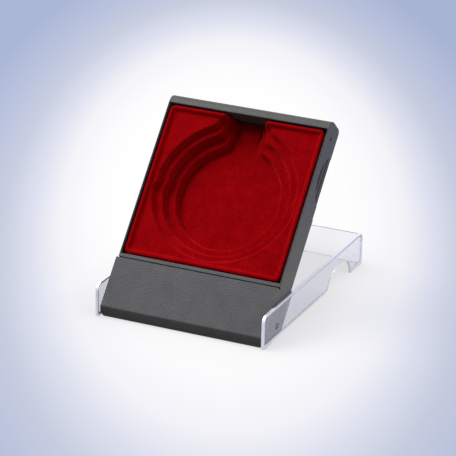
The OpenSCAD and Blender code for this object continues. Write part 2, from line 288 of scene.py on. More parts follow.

# %% [markdown]
# ## Moulded black plastic
# The tray and its front cover are moulded in dark grey plastic with a fine leather grain.
# Such a grain is a net of small rounded cells with hair-thin valleys, so it is made of
# Voronoi cells under soft noise. The grain breaks the shine into many small glints, and the
# colour wanders a little, as it does where the mould was polished less. The sides are a
# little smoother than the front, and a paler copy of the colour on them is painted light. A
# darker copy on the rounded top end, and the darkest one on the floor of the grips and on the
# thin rims beside the opening, are painted shade.

# %% Finish of the tray and the cover
def grained_plastic(name, dark, light, cell_mm, depth_mm, gloss, shine=0.25):
    """Plastic between two tones, with a leather grain of the given cell width and depth."""
    finish, tree, shader, place = new_finish(name, IOR=1.5, Specular_IOR_Level=shine)
    cells = node(tree, "ShaderNodeTexVoronoi", {"feature": "DISTANCE_TO_EDGE"}, Vector=place,
                 Scale=1 / (cell_mm * MM), Randomness=1.0)
    pads = spread(tree, cells.outputs["Distance"], 0.0, 0.32, 0, 1)
    dust = grain(tree, place, 0.22, 3)
    clouds = grain(tree, place, 7, 3, seed=2)
    mottle = grain(tree, place, 1.6, 2, seed=5)
    tone = join_math(tree, "ADD", spread(tree, clouds, 0.3, 0.7, 0, 0.5),
                     spread(tree, mottle, 0.3, 0.7, 0, 0.5))
    coat(tree, shader, ramp(tree, tone, (0.1, dark), (0.9, light)),
         spread(tree, mottle, 0.3, 0.7, gloss - 0.06, gloss + 0.07))
    relief(tree, shader, (pads, depth_mm), (dust, depth_mm * 0.6))
    return finish


TRAY_DARK, TRAY_LIGHT = (0.066, 0.067, 0.072), (0.098, 0.098, 0.105)
tray_finish = grained_plastic("moulded_tray", TRAY_DARK, TRAY_LIGHT,
                              cell_mm=0.75, depth_mm=0.035, gloss=0.52)
cover_finish = grained_plastic("grained_cover", TRAY_DARK, TRAY_LIGHT,
                               cell_mm=0.95, depth_mm=0.06, gloss=0.55)
# A darker copy of the tray colour for the rounded top end: painted shade.
end_painted_shade_finish = grained_plastic("tray_end_painted_shade", (0.052, 0.053, 0.053), (0.076, 0.077, 0.076),
                             cell_mm=0.75, depth_mm=0.035, gloss=0.52)
# A paler copy of the tray colour for the sides, the ribs and the cover's sides: painted light.
side_painted_light_finish = grained_plastic("tray_side_painted_light", (0.094, 0.091, 0.090), (0.138, 0.134, 0.132),
                              cell_mm=0.75, depth_mm=0.03, gloss=0.45, shine=0.5)
# The darkest copy, for the floor of the grips and the thin rims beside the opening: painted shade.
painted_shade_finish = grained_plastic("painted_shade_plastic", (0.014, 0.014, 0.015), (0.027, 0.027, 0.028),
                             cell_mm=0.5, depth_mm=0.01, gloss=0.5)

# %% [markdown]
# ## Red flock
# Flocking is a coat of very short red fibres standing on glued sheet. It has no shine, it
# glows at the edges where the fibres are seen from the side, and it goes darker and lighter
# in soft patches where the pile leans. So the shader is fully rough with a sheen, the colour
# mixes broad patches with fine specks, and a fine bump stands for the pile.

# %% Finish of the insert
def flock_finish():
    """Deep red pile with broad patches and fine specks."""
    finish, tree, shader, place = new_finish(
        "red_flock", Roughness=1.0, Specular_IOR_Level=0.0, Sheen_Weight=0.7,
        Sheen_Roughness=0.28, Sheen_Tint=(1.0, 0.04, 0.055, 1))
    patches = grain(tree, place, 6, 3, 0.6)
    brushed = grain(tree, place, 1.1, 3, 0.65, seed=3)
    specks = grain(tree, place, 0.28, 2, 0.7, seed=7)
    tone = join_math(tree, "ADD", spread(tree, patches, 0.25, 0.75, 0, 0.35),
                     spread(tree, brushed, 0.25, 0.75, 0, 0.4))
    tone = join_math(tree, "ADD", tone, spread(tree, specks, 0.3, 0.7, 0, 0.25))
    coat(tree, shader, ramp(tree, tone, (0.1, (0.20, 0.0008, 0.0022)),
                            (0.5, (0.30, 0.0015, 0.0035)), (0.9, (0.43, 0.0035, 0.0065))))
    relief(tree, shader, (brushed, 0.2), (specks, 0.10))
    return finish


red_flock = flock_finish()

# %% [markdown]
# ## Clear plastic
# The lid is injection-moulded clear plastic, a few parts in a hundred darker than air and
# faintly violet at its edges. It bends what is seen through it, so the shader is glass with
# a smooth face. Lamps have to reach the floor and the tray through it, so for shadow rays
# and for light that falls on painted things it is plain see-through. Handling leaves a faint
# haze, which is a slow change in roughness. The side walls are seen at a slant, through more
# plastic than the panel, so they get a deeper violet tint and mirror more.

# %% Finish of the lid
def let_light_pass(tree, shader, colour):
    """Lets lamps shine through: plain see-through for shadow rays and light on painted things."""
    path = node(tree, "ShaderNodeLightPath").outputs
    passes = join_math(tree, "MAXIMUM", path["Is Shadow Ray"], path["Is Diffuse Ray"])
    clear = node(tree, "ShaderNodeBsdfTransparent", Color=colour)
    both = node(tree, "ShaderNodeMixShader", _0=passes, _1=shader.outputs[0], _2=clear.outputs[0])
    tree.links.new(both.outputs[0], tree.nodes["Material Output"].inputs["Surface"])


def clear_finish(name, deep, pale, bend):
    """Clear plastic with a tint from deep to pale, which mirrors more where bend is higher."""
    finish, tree, shader, place = new_finish(
        name, IOR=bend, Specular_IOR_Level=0.5, Specular_Tint=(0.7, 0.76, 1.0, 1),
        Transmission_Weight=1.0)
    haze = grain(tree, place, 9, 3)
    coat(tree, shader, ramp(tree, haze, (0.3, deep), (0.7, pale)),
         spread(tree, haze, 0.35, 0.75, 0.015, 0.06))
    relief(tree, shader, (grain(tree, place, 14, 1, seed=4), 0.05))
    let_light_pass(tree, shader, (0.93, 0.935, 0.96, 1))
    return finish


clear_plastic = clear_finish("clear_plastic", deep=(0.925, 0.925, 0.95),
                             pale=(0.95, 0.95, 0.97), bend=1.49)
side_plastic = clear_finish("clear_side_wall", deep=(0.80, 0.805, 0.90),
                            pale=(0.83, 0.835, 0.925), bend=1.72)

# %% [markdown]
# ## The rims of the lid
# The thin rims of clear mouldings are not polished, and light that is caught in the plastic
# comes out there. They look milky and brighter than the faces beside them. So they get a
# finish of their own, partly milky plastic and partly painted light: a satin white, partly
# metallic, that gathers the light of the room and stays bright even in the tray's shadow.

# %% Finish of the rims
def rim_glass_finish():
    """Satin white for the rims, partly painted light, which lamps still shine through."""
    finish, tree, shader, place = new_finish(
        "milky_rim_painted_light", IOR=1.6, Specular_IOR_Level=0.8, Metallic=0.72)
    cloud = grain(tree, place, 3, 2, seed=9)
    coat(tree, shader, ramp(tree, cloud, (0.3, (0.77, 0.79, 0.90)), (0.7, (0.83, 0.85, 0.95))),
         spread(tree, cloud, 0.3, 0.7, 0.35, 0.45))
    relief(tree, shader, (grain(tree, place, 0.6, 2, seed=6), 0.02))
    let_light_pass(tree, shader, (0.85, 0.86, 0.9, 1))
    return finish


milky_rim_painted_light = rim_glass_finish()

# %% [markdown]
# ## Small pieces
# The hinge pins are plain dark plastic, a little uneven. The pads are pale foam with bubbles.

# %% Finishes of the pins and the pads
def pin_plastic_finish():
    """Dark plastic, a little uneven."""
    finish, tree, shader, place = new_finish("pin_plastic", IOR=1.5)
    turned = grain(tree, place, 0.8, 2)
    coat(tree, shader, ramp(tree, turned, (0.3, (0.13, 0.13, 0.14)), (0.7, (0.18, 0.18, 0.19))),
         spread(tree, turned, 0.3, 0.7, 0.3, 0.42))
    relief(tree, shader, (turned, 0.02))
    return finish


def foam_finish():
    """Pale foam with bubbles."""
    finish, tree, shader, place = new_finish("pad_foam", Roughness=0.95, Specular_IOR_Level=0.2)
    bubbles = node(tree, "ShaderNodeTexVoronoi", Vector=place,
                   Scale=1 / (0.6 * MM)).outputs["Distance"]
    coat(tree, shader, ramp(tree, bubbles, (0.0, (0.52, 0.51, 0.47)), (0.6, (0.78, 0.77, 0.72))))
    relief(tree, shader, (bubbles, 0.15))
    return finish


pin_plastic = pin_plastic_finish()
pad_foam = foam_finish()
print("finishes:", [m.name for m in bpy.data.materials if m.use_nodes])

# %% [markdown]
# ## Helpers for solid pieces
# A moulded piece is a profile pushed across the case, with hollows cut out of it and its
# edges softened. The helpers do those three things. An arc is given by its middle, its
# radius and the two angles it runs between.

# %% Helpers for solid pieces
def arc(middle, radius, start, end, steps=14):
    """Points along an arc, angles in degrees."""
    return [(middle[0] + radius * math.cos(math.radians(a)),
             middle[1] + radius * math.sin(math.radians(a)))
            for a in np.linspace(start, end, steps + 1)]


def pushed(name, profile, x_low, x_high):
    """A closed solid: the profile, in y and z, pushed from x_low to x_high."""
    shape = bmesh.new()
    rings = [[shape.verts.new((x, y, z)) for y, z in profile] for x in (x_low, x_high)]
    shape.faces.new(rings[0])
    shape.faces.new(reversed(rings[1]))
    for k in range(len(profile)):
        j = (k + 1) % len(profile)
        shape.faces.new((rings[0][k], rings[1][k], rings[1][j], rings[0][j]))
    bmesh.ops.recalc_face_normals(shape, faces=shape.faces)
    return finish_mesh(name, shape)


def finish_mesh(name, shape):
    """Turns an edited shape into an object of the scene."""
    mesh = bpy.data.meshes.new(name)
    shape.to_mesh(mesh)
    shape.free()
    piece = bpy.data.objects.new(name, mesh)
    bpy.context.scene.collection.objects.link(piece)
    return piece


def rod(name, middle, radius, length, chamfer=0.0, sides=40):
    """A closed round rod that lies across the case, with its ends chamfered."""
    shape = bmesh.new()
    half, inner = length / 2, radius - chamfer
    rings = [(-half, inner), (-half + chamfer, radius), (half - chamfer, radius), (half, inner)]
    if chamfer == 0:
        rings = [(-half, radius), (half, radius)]
    turns = [2 * math.pi * k / sides for k in range(sides)]
    rows = [[shape.verts.new((x, r * math.cos(a), r * math.sin(a))) for a in turns]
            for x, r in rings]
    for low, high in zip(rows, rows[1:]):
        for k in range(sides):
            shape.faces.new((low[k], high[k], high[(k + 1) % sides], low[(k + 1) % sides]))
    shape.faces.new(rows[0])
    shape.faces.new(reversed(rows[-1]))
    bmesh.ops.recalc_face_normals(shape, faces=shape.faces)
    bmesh.ops.translate(shape, vec=middle, verts=shape.verts)
    return finish_mesh(name, shape)


def settle(piece):
    """Makes what the piece's modifiers show its plain mesh."""
    shown = piece.evaluated_get(bpy.context.evaluated_depsgraph_get())
    mesh = bpy.data.meshes.new_from_object(shown)
    piece.modifiers.clear()
    piece.data = mesh
    return piece


def joined(piece, others, how="DIFFERENCE"):
    """Cuts the others out of the piece, or joins them to it, and clears them away."""
    for other in others:
        change = piece.modifiers.new("carve", "BOOLEAN")
        change.operation, change.object, change.solver = how, other, "EXACT"
        settle(piece)
        bpy.data.objects.remove(other)
    return piece


def soften(piece, width, segments=3, sharper_than=32):
    """Rounds the sharp edges, as a mould does."""
    bevel = piece.modifiers.new("soften", "BEVEL")
    bevel.width, bevel.segments, bevel.limit_method = width, segments, "ANGLE"
    bevel.angle_limit = math.radians(sharper_than)
    return settle(piece)


def set_down(piece, place, finish, body, nodes=(), smooth_below=32, flat_faces=True,
             others=()):
    """Shades the piece, puts it in its place in the frame and says what it rides on.

    The large faces of a moulding are flat right up to their rounded edges, so their normals
    are made to count for more than those of the narrow faces of the rounding. Others are
    pairs of a finish and a test: it goes on the faces whose middle and normal pass the test.
    """
    picked = [max([0] + [k + 1 for k, (_, test) in enumerate(others)
                         if test(face.center, face.normal)])
              for face in piece.data.polygons]
    piece.data.transform(place)
    piece.data.materials.clear()
    piece.data.materials.append(finish)
    for other, _ in others:
        piece.data.materials.append(other)
    for face, index in zip(piece.data.polygons, picked):
        face.use_smooth, face.material_index = True, index
    piece.data.set_sharp_from_angle(angle=math.radians(smooth_below))
    if flat_faces:
        shading = piece.modifiers.new("flat_faces", "WEIGHTED_NORMAL")
        shading.keep_sharp, shading.weight = True, 50
        settle(piece)
    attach(piece, body)
    if nodes:
        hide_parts(*nodes)
    size = [round((max(v.co[k] for v in piece.data.vertices)
                   - min(v.co[k] for v in piece.data.vertices)) / MM, 1) for k in range(3)]
    print(piece.name, "faces:", len(piece.data.polygons), "size in mm:", size,
          "faces of other finishes:", sum(k > 0 for k in picked))


# %% [markdown]
# ## The tray
# The tray is one moulding: a shallow box with a big square pocket for the insert, thin side
# walls, a thick rounded top end, and a solid-looking foot below the hinge. Its lower end is
# cut along the table. It is drawn as one profile pushed across the case, the pocket and the
# recess of the heel are cut out, the edges are softened, and only then come the shallow grip
# hollows and snap dimples, so that the softening doesn't have to squeeze round them.

# %% Sizes of the tray
HALF_OPENING, HALF_TRAY = 41.25, 41.8
OPENING = (18.3, 97.5)
TRAY_TOP, FACE, BACK, FLOOR, HEEL = 102.7, 7.3, -7.2, -5.9, -7.8
HEEL_TOP, HEEL_LOW, HEEL_RIM = 56.6, 10.0, 6.0
NOSE, TAIL = 5.0, 2.5
COVER_TOP, COVER_FACE, COVER_INSIDE, TOE = 15.5, 9.3, -11.3, -13.3
GROOVE_WIDE, GROOVE_DEEP = 1.1, 1.2
GRIP_AT, GRIP_LONG, GRIP_HIGH, GRIP_DEEP = 75.5, 24.0, 8.8, 0.25
SNAP_AT, SNAP_UP, SNAP_R, DIMPLE_GAP = 94.7, 1.0, 0.9, 0.15
FOOT_GAP = 0.2
TABLE = FOOT_GAP - hinge.z / MM
# Cutters run past the faces that they open: across the case, and out of its open face.
PAST_SIDES, PAST_FACE = 50, 20


def foot_at(y):
    """How far out the table cuts the leaned tray at the distance y from the pin."""
    return (TABLE - y * math.cos(LEAN)) / math.sin(LEAN)


# %% Make the tray
def make_tray():
    """The shell with its pocket, heel, groove, grip hollows and dimples."""
    foot_y = (TABLE - HEEL * math.sin(LEAN)) / math.cos(LEAN)
    profile = [(COVER_INSIDE, FACE)]
    profile += arc((TRAY_TOP - NOSE, FACE - NOSE), NOSE, 90, 0)
    profile += arc((TRAY_TOP - TAIL, BACK + TAIL), TAIL, 0, -90, 10)
    profile += [(HEEL_TOP, BACK), (HEEL_TOP, HEEL), (foot_y, HEEL),
                (COVER_INSIDE, foot_at(COVER_INSIDE))]
    tray = pushed("tray_shell", profile, -HALF_TRAY, HALF_TRAY)
    low, high = OPENING
    pocket = pushed("pocket", [(low, FLOOR), (high, FLOOR), (high, PAST_FACE), (low, PAST_FACE)],
                    -HALF_OPENING, HALF_OPENING)
    rim = HALF_TRAY - HEEL_RIM
    heel = pushed("heel_recess", [(HEEL_LOW, HEEL - 1), (HEEL_TOP + 10, HEEL - 1),
                                  (HEEL_TOP + 10, BACK), (HEEL_LOW, BACK)], -rim, rim)
    low, high, deep = COVER_TOP - 0.1, COVER_TOP + GROOVE_WIDE, FACE - GROOVE_DEEP
    groove = pushed("groove", [(low, deep), (high, deep), (high, FACE + 1), (low, FACE + 1)],
                    -PAST_SIDES, PAST_SIDES)
    soften(joined(tray, [pocket, heel]), width=0.28)
    return joined(tray, [groove] + grip_hollows() + dimples())


def on_side(middle, normal):
    """True for the broad outer faces at the two sides, which get the paler colour of painted light.
    """
    return abs(middle.x) > HALF_TRAY - 0.1 and abs(normal.x) > 0.9


def on_end(middle, normal):
    """True for the faces of the rounded top end, which get the darker colour of painted shade."""
    return abs(normal.x) < 0.85 and middle.y > OPENING[1] + 0.1


def in_grip(middle, normal):
    """True for the faces at the bottom of the two grip hollows."""
    return abs(abs(middle.x) - (HALF_TRAY - GRIP_DEEP)) < 0.02 and abs(normal.x) > 0.9


def in_shade(middle, normal):
    """True for the grip hollows and the thin rims beside the opening, which get the darkest colour
    as painted shade.
    """
    rim = abs(middle.x) > HALF_OPENING and middle.y > OPENING[0] and normal.z > 0.3
    return in_grip(middle, normal) or (rim and abs(normal.x) < 0.85)


def grip_hollows():
    """Half an ellipse on each side, from the back edge."""
    edge = [(GRIP_AT + GRIP_LONG / 2 * math.cos(a), BACK + GRIP_HIGH * math.sin(a))
            for a in np.linspace(math.pi, 0, 41)]
    outline = [(GRIP_AT + GRIP_LONG / 2, BACK - 2), (GRIP_AT - GRIP_LONG / 2, BACK - 2)]
    outline += edge
    inner = HALF_TRAY - GRIP_DEEP
    return [pushed("grip_right", outline, inner, HALF_TRAY + 2),
            pushed("grip_left", outline, -HALF_TRAY - 2, -inner)]


def dimples():
    """Shallow round sockets that the lid's pips snap into."""
    return [rod("dimple", (side * (HALF_TRAY + 0.8), SNAP_AT, SNAP_UP), SNAP_R + DIMPLE_GAP,
                length=2.0) for side in (-1, 1)]


set_down(make_tray(), LEANED, tray_finish, "tray", ["tray"],
         others=[(side_painted_light_finish, on_side), (painted_shade_finish, in_shade), (end_painted_shade_finish, on_end)])

# %% [markdown]
# ## The grip ribs
# Each side of the tray has a half-oval hollow with a few ribs along it for the fingers. Ribs
# repeat by a rule: the same bar at an even pitch, as long as the oval is wide there. Geometry
# Nodes can say exactly that: a line of points, one bar on each, stretched by the ellipse.

# %% A small helper to write rules as sums
class Rule:
    """A number at each point of a Geometry Nodes tree. Its signs become Math nodes."""

    def __init__(self, tree, socket):
        self.tree, self.socket = tree, socket

    def fed_to(self, made, *others):
        """Feeds this and the others to a node's first inputs. Gives what comes out."""
        for slot, value in zip(made.inputs, (self, *others)):
            if isinstance(value, Rule):
                self.tree.links.new(value.socket, slot)
            else:
                slot.default_value = value
        return Rule(self.tree, made.outputs[0])

    def math(self, operation, *others):
        made = self.tree.nodes.new("ShaderNodeMath")
        made.operation = operation
        return self.fed_to(made, *others)

    def __add__(self, other): return self.math("ADD", other)
    def __sub__(self, other): return self.math("SUBTRACT", other)
    def __rsub__(self, other): return (self * -1) + other
    def __mul__(self, other): return self.math("MULTIPLY", other)
    def __rmul__(self, other): return self.math("MULTIPLY", other)
    def __truediv__(self, other): return self.math("DIVIDE", other)
    def __neg__(self): return self * -1
    def low(self, other): return self.math("MINIMUM", other)
    def high(self, other): return self.math("MAXIMUM", other)
    def soft_low(self, other, blend): return self.math("SMOOTH_MIN", other, blend)
    def soft_high(self, other, blend): return self.math("SMOOTH_MAX", other, blend)
    def size(self): return self.math("ABSOLUTE")
    def root(self): return self.high(0.0).math("SQRT")
    def sine(self): return self.math("SINE")
    def cosine(self): return self.math("COSINE")

    def between(self, low, high, smooth=True):
        """0 below low, 1 above high, and a ramp between them."""
        made = self.tree.nodes.new("ShaderNodeMapRange")
        made.interpolation_type = "SMOOTHSTEP" if smooth else "LINEAR"
        return self.fed_to(made, low, high, 0.0, 1.0)


def length_of(a, b):
    """Length of the step that goes a across and b along."""
    return (a * a + b * b).root()


def new_rule_tree(name, sizes):
    """A Geometry Nodes tree with one named input for each size. Gives the tree and the sizes."""
    tree = bpy.data.node_groups.new(name, "GeometryNodeTree")
    tree.interface.new_socket("Geometry", in_out="INPUT", socket_type="NodeSocketGeometry")
    tree.interface.new_socket("Geometry", in_out="OUTPUT", socket_type="NodeSocketGeometry")
    for label, value in sizes.items():
        socket = tree.interface.new_socket(label, in_out="INPUT", socket_type="NodeSocketFloat")
        socket.default_value = value
    entry = tree.nodes.new("NodeGroupInput")
    return tree, {label: Rule(tree, entry.outputs[label]) for label in sizes}


def run_rule(name, tree, sizes):
    """Runs the tree on an empty mesh with its sizes set. Gives the result as a plain object."""
    piece = bpy.data.objects.new(name, bpy.data.meshes.new(name))
    bpy.context.scene.collection.objects.link(piece)
    modifier = piece.modifiers.new(name, "NODES")
    modifier.node_group = tree
    for item in tree.interface.items_tree:
        if item.in_out == "INPUT" and item.name in sizes:
            modifier[item.identifier] = float(sizes[item.name])
    return settle(piece)


def end_tree(tree, geometry, finish):
    """Every tree ends the same way: real meshes instead of instances, and the finish."""
    real = tree.nodes.new("GeometryNodeRealizeInstances")
    paint = tree.nodes.new("GeometryNodeSetMaterial")
    paint.inputs["Material"].default_value = finish
    out = tree.nodes.new("NodeGroupOutput")
    tree.links.new(geometry, real.inputs[0])
    tree.links.new(real.outputs[0], paint.inputs["Geometry"])
    tree.links.new(paint.outputs[0], out.inputs[0])


# %% Make the grip ribs
RIB_SIZES = {"Length": GRIP_LONG, "Height": GRIP_HIGH, "Pitch": 3.3, "Rib width": 1.25,
             "Rib depth": 0.24, "Wall": HALF_TRAY - GRIP_DEEP, "Middle": GRIP_AT, "Back": BACK}


def rib_tree():
    """A line of points up the grip, with a stretched bar on each."""
    tree, size = new_rule_tree("grip_ribs", RIB_SIZES)
    count = (size["Height"] / size["Pitch"]).math("FLOOR")
    line = tree.nodes.new("GeometryNodeMeshLine")
    line.mode = "OFFSET"
    tree.links.new(count.socket, line.inputs["Count"])
    index = Rule(tree, tree.nodes.new("GeometryNodeInputIndex").outputs[0])
    up = (index + 0.6) * size["Pitch"]
    share = up / size["Height"]
    long = (1.0 - share * share).root() * size["Length"] - 0.6
    place = node(tree, "ShaderNodeCombineXYZ", X=size["Wall"].socket,
                 Y=size["Middle"].socket, Z=(up + size["Back"]).socket)
    spot = node(tree, "GeometryNodeSetPosition", Geometry=line.outputs[0],
                Position=place.outputs[0])
    bar = node(tree, "GeometryNodeMeshCylinder", {"fill_type": "TRIANGLE_FAN"}, Vertices=12,
               Side_Segments=1, Radius=1.0, Depth=1.0)
    turned = node(tree, "GeometryNodeTransform", Geometry=bar.outputs["Mesh"],
                  Rotation=(math.pi / 2, 0, 0))
    stretch = node(tree, "ShaderNodeCombineXYZ", X=size["Rib depth"].socket,
                   Y=long.socket, Z=(size["Rib width"] * 0.5).socket)
    ribs = node(tree, "GeometryNodeInstanceOnPoints", Points=spot.outputs[0],
                Instance=turned.outputs[0], Scale=stretch.outputs[0])
    end_tree(tree, ribs.outputs[0], side_painted_light_finish)
    return tree


def make_ribs():
    """The ribs of the right grip by the rule, and their mirror on the left."""
    right = run_rule("grip_ribs", rib_tree(), RIB_SIZES)
    shape = bmesh.new()
    shape.from_mesh(right.data)
    bmesh.ops.remove_doubles(shape, verts=shape.verts, dist=0.001)
    twin = bmesh.ops.duplicate(shape, geom=shape.verts[:] + shape.edges[:] + shape.faces[:])["geom"]
    for v in (g for g in twin if isinstance(g, bmesh.types.BMVert)):
        v.co.x = -v.co.x
    bmesh.ops.recalc_face_normals(shape, faces=shape.faces)
    shape.to_mesh(right.data)
    shape.free()
    return right


# The ribs take the paler side colour, which is painted light.
set_down(make_ribs(), LEANED, side_painted_light_finish, "tray")

# %% [markdown]
# ## The front cover
# A separate plate closes the hinge end: a broad face that stands proud of the tray, turned
# round the lower edge into a short dark lip that ends on the table. The turn is tight at
# its start and then nearly flat, which is why the real one shows a crisp line there.

# %% Make the front cover
CORNER_R = 2.2
# From the face round the tight turn and down the lip to the table.
LIP = [(-9.3, COVER_FACE), (-9.75, 9.2), (-10.1, 8.98), (-10.7, 8.5), (-11.3, 7.95),
       (-11.85, 7.4), (-12.35, 6.85), (-12.8, 6.3), (TOE, foot_at(TOE))]


def make_cover():
    """The plate with its lip, its lower corners rounded as seen from the front."""
    profile = [(COVER_TOP, FACE), (COVER_TOP, COVER_FACE)] + LIP
    profile += [(COVER_INSIDE, foot_at(COVER_INSIDE)), (COVER_INSIDE, FACE)]
    plate = pushed("front_cover_plate", profile, -HALF_TRAY, HALF_TRAY)
    corner = HALF_TRAY - CORNER_R
    plan = arc((TOE + CORNER_R, corner), CORNER_R, 90, 180)
    plan += arc((TOE + CORNER_R, -corner), CORNER_R, 180, 270)
    plan += [(COVER_TOP + 5, -HALF_TRAY), (COVER_TOP + 5, HALF_TRAY)]
    outline = pushed("outline", plan, -30, 30)
    outline.data.transform(Matrix.Rotation(-math.pi / 2, 4, "Y"))
    joined(plate, [outline], "INTERSECT")
    return soften(plate, width=0.22)


set_down(make_cover(), LEANED, cover_finish, "tray", ["front_cover"],
         others=[(side_painted_light_finish, on_side)])

# %% [markdown]
# ## The insert
# The insert is one flocked sheet drawn over a stepped form: a flat field with a raised bead
# round it, three round seats one inside the other, and a channel that runs out at the top
# for a ribbon or a fingertip. Its whole shape follows one rule, a height for each place on
# the plan, so Geometry Nodes make it. A grid of spokes and rings is laid so that the rings
# run along the lips of the seats. Then the height rule lifts each point: the lowest of the
# field and the three seats wins, with soft minimums that round the lips as flocking does.

# %% Sizes of the insert
SEAT_SIZES = {
    "Half width": 40.5, "Lower end": 18.8, "Upper end": 96.8, "Corner radius": 3.0,
    "Field height": 5.6, "Bead height": 1.25, "Bead width": 2.7, "Skirt": -5.4,
    "Seat middle": 57.5, "Wall run": 0.85, "Lip blend": 2.7,
    "Channel middle": -0.6, "End ledge": -2.1,
}
SEAT_LABELS = ("Radius", "Relief", "Bottom", "Channel", "Taper", "Pinch", "Ledge")
SEATS = {1: (36.0, 0.6, 35.0, 13.4, 4.0, 0.75, 3.1),
         2: (31.6, 0.3, 31.3, 10.8, 1.6, 0.75, -0.3),
         3: (26.2, 0.0, 27.1, 7.8, 0.4, 0.2, -3.5)}
for seat, row in SEATS.items():
    SEAT_SIZES.update({f"{label} {seat}": value for label, value in zip(SEAT_LABELS, row)})
# Along the seats: where the lower half widens, and where the pinch is and fades.
RELIEF_RUN, PINCH_AT, PINCH_RUN = (-0.5, 2.5), 1.4, (0.8, 3.8)
# From the hinge: where the channels narrow, and where the end ledge of the smallest begins.
TAPER_RUN, END_RUN = (92.5, 95.5), (91.3, 92.5)
EDGE_ROUND, EDGE_DROP = 1.3, 1.1
WOBBLE, NAP, SHEET = 0.7, 0.16, 0.45
SPOKES, RINGS = 440, 80


# %% Where the lips of the seats run
def lip_reach(size, seat, sine, cosine):
    """How far a seat's lip lies from the middle, in the direction with this sine and cosine.

    The upper half is a circle. The lower half is a little wider and has a radius of its own
    at the bottom. Just below the middle all the lips pinch in, where the two halves meet.
    """
    along = cosine * size[f"Radius {seat}"]
    side = size[f"Radius {seat}"] + size[f"Relief {seat}"] * (-along).between(*RELIEF_RUN)
    side = side - size[f"Pinch {seat}"] * (1.0 - (along - PINCH_AT).size().between(*PINCH_RUN))
    end = side + (size[f"Bottom {seat}"] - side) * cosine.math("LESS_THAN", 0.0)
    return side * end / length_of(end * sine, side * cosine)


def spoke_reach(size, seat, turn, offset):
    """How far a seat reaches along a spoke: its lip, or its channel where that is further."""
    sine, cosine = turn.sine(), turn.cosine()
    side = (size[f"Channel {seat}"] + offset) / sine.size().high(0.0001)
    end = (size["Upper end"] - size["Seat middle"] + 4.0 + offset) / cosine.high(0.0001)
    ahead = cosine.math("GREATER_THAN", 0.0)
    return (lip_reach(size, seat, sine, cosine) + offset).high(side.low(end) * ahead)


# %% Plan of the insert, spokes and rings
def lay_plan(tree, size):
    """Lays a grid out as spokes and rings. Gives the mesh, and the plan place of each point."""
    grid = node(tree, "GeometryNodeMeshGrid", Size_X=2.0, Size_Y=1.0, Vertices_X=SPOKES,
                Vertices_Y=RINGS)
    here = tree.nodes.new("GeometryNodeInputPosition").outputs[0]
    spot = node(tree, "ShaderNodeSeparateXYZ", Vector=here)
    across, out = Rule(tree, spot.outputs["X"]), Rule(tree, spot.outputs["Y"]) + 0.5
    turn = math.pi * (0.42 * across + 0.58 * across * across * across)
    middle = size["Seat middle"]
    upper, lower = size["Upper end"] - middle, middle - size["Lower end"]
    end = (upper / turn.cosine().high(0.0001)).low(lower / (-turn.cosine()).high(0.0001))
    edge = end.low(size["Half width"] / turn.sine().size().high(0.0001))
    stations = [across * 0.0 + 0.05]
    stations += [spoke_reach(size, seat, turn, offset)
                 for seat in (3, 2, 1) for offset in (-2.0, 1.1)]
    stations += [edge - 4.0, edge - 0.9, edge]
    shares = [0.0, 0.10, 0.28, 0.33, 0.52, 0.57, 0.76, 0.80, 0.90, 0.96]
    reach = before = stations[0]
    for station, low, high in zip(stations[1:], shares, shares[1:]):
        station = station.low(edge).high(before + 0.02)
        reach = reach + (station - before) * out.between(low, high, smooth=False)
        before = station
    drop = out.between(shares[-1], 1.0, smooth=False)
    return grid.outputs["Mesh"], reach * turn.sine(), reach * turn.cosine() + middle, drop


# %% Height of the insert at each place
def seat_floor(size, seat, x, y, above):
    """Height that one seat allows at a place: its ledge inside the lip, a steep wall up to it."""
    along = y - size["Seat middle"]
    away = length_of(x, along).high(0.01)
    ring = away - lip_reach(size, seat, x / away, along / away)
    half = size[f"Channel {seat}"] - size[f"Taper {seat}"] * y.between(*TAPER_RUN)
    channel = ((x - size["Channel middle"]).size() - half).high(-along)
    hollow = ring.soft_low(channel, 5.0)
    ledge = size[f"Ledge {seat}"]
    if seat == 3:
        ledge = ledge + (size["End ledge"] - ledge) * y.between(*END_RUN)
    wall = (hollow + size["Wall run"]).soft_high(hollow * 0.0, 0.7)
    return wall * ((above - ledge) / size["Wall run"]) + ledge


def height_rule(size, x, y, wobble):
    """The field with its bead, lowered by each seat in turn."""
    length = (size["Upper end"] - size["Lower end"]) * 0.5
    round_in = size["Corner radius"]
    a = x.size() - size["Half width"] + round_in
    b = (y - size["Lower end"] - length).size() - length + round_in
    inside = round_in - length_of(a.high(0.0), b.high(0.0)) - a.high(b).low(0.0)
    bead = 1.0 - inside.between(size["Bead width"] - 1.3, size["Bead width"] + 0.4)
    height, above = size["Field height"] + bead * size["Bead height"], size["Field height"]
    for seat in (1, 2, 3):
        floor = seat_floor(size, seat, x + wobble, y + wobble, above)
        height = height.soft_low(floor, size["Lip blend"])
        above = size[f"Ledge {seat}"]
    lip = (EDGE_ROUND - inside).high(0.0).low(EDGE_ROUND) / EDGE_ROUND
    return height - (1.0 - (1.0 - lip * lip).root()) * EDGE_DROP


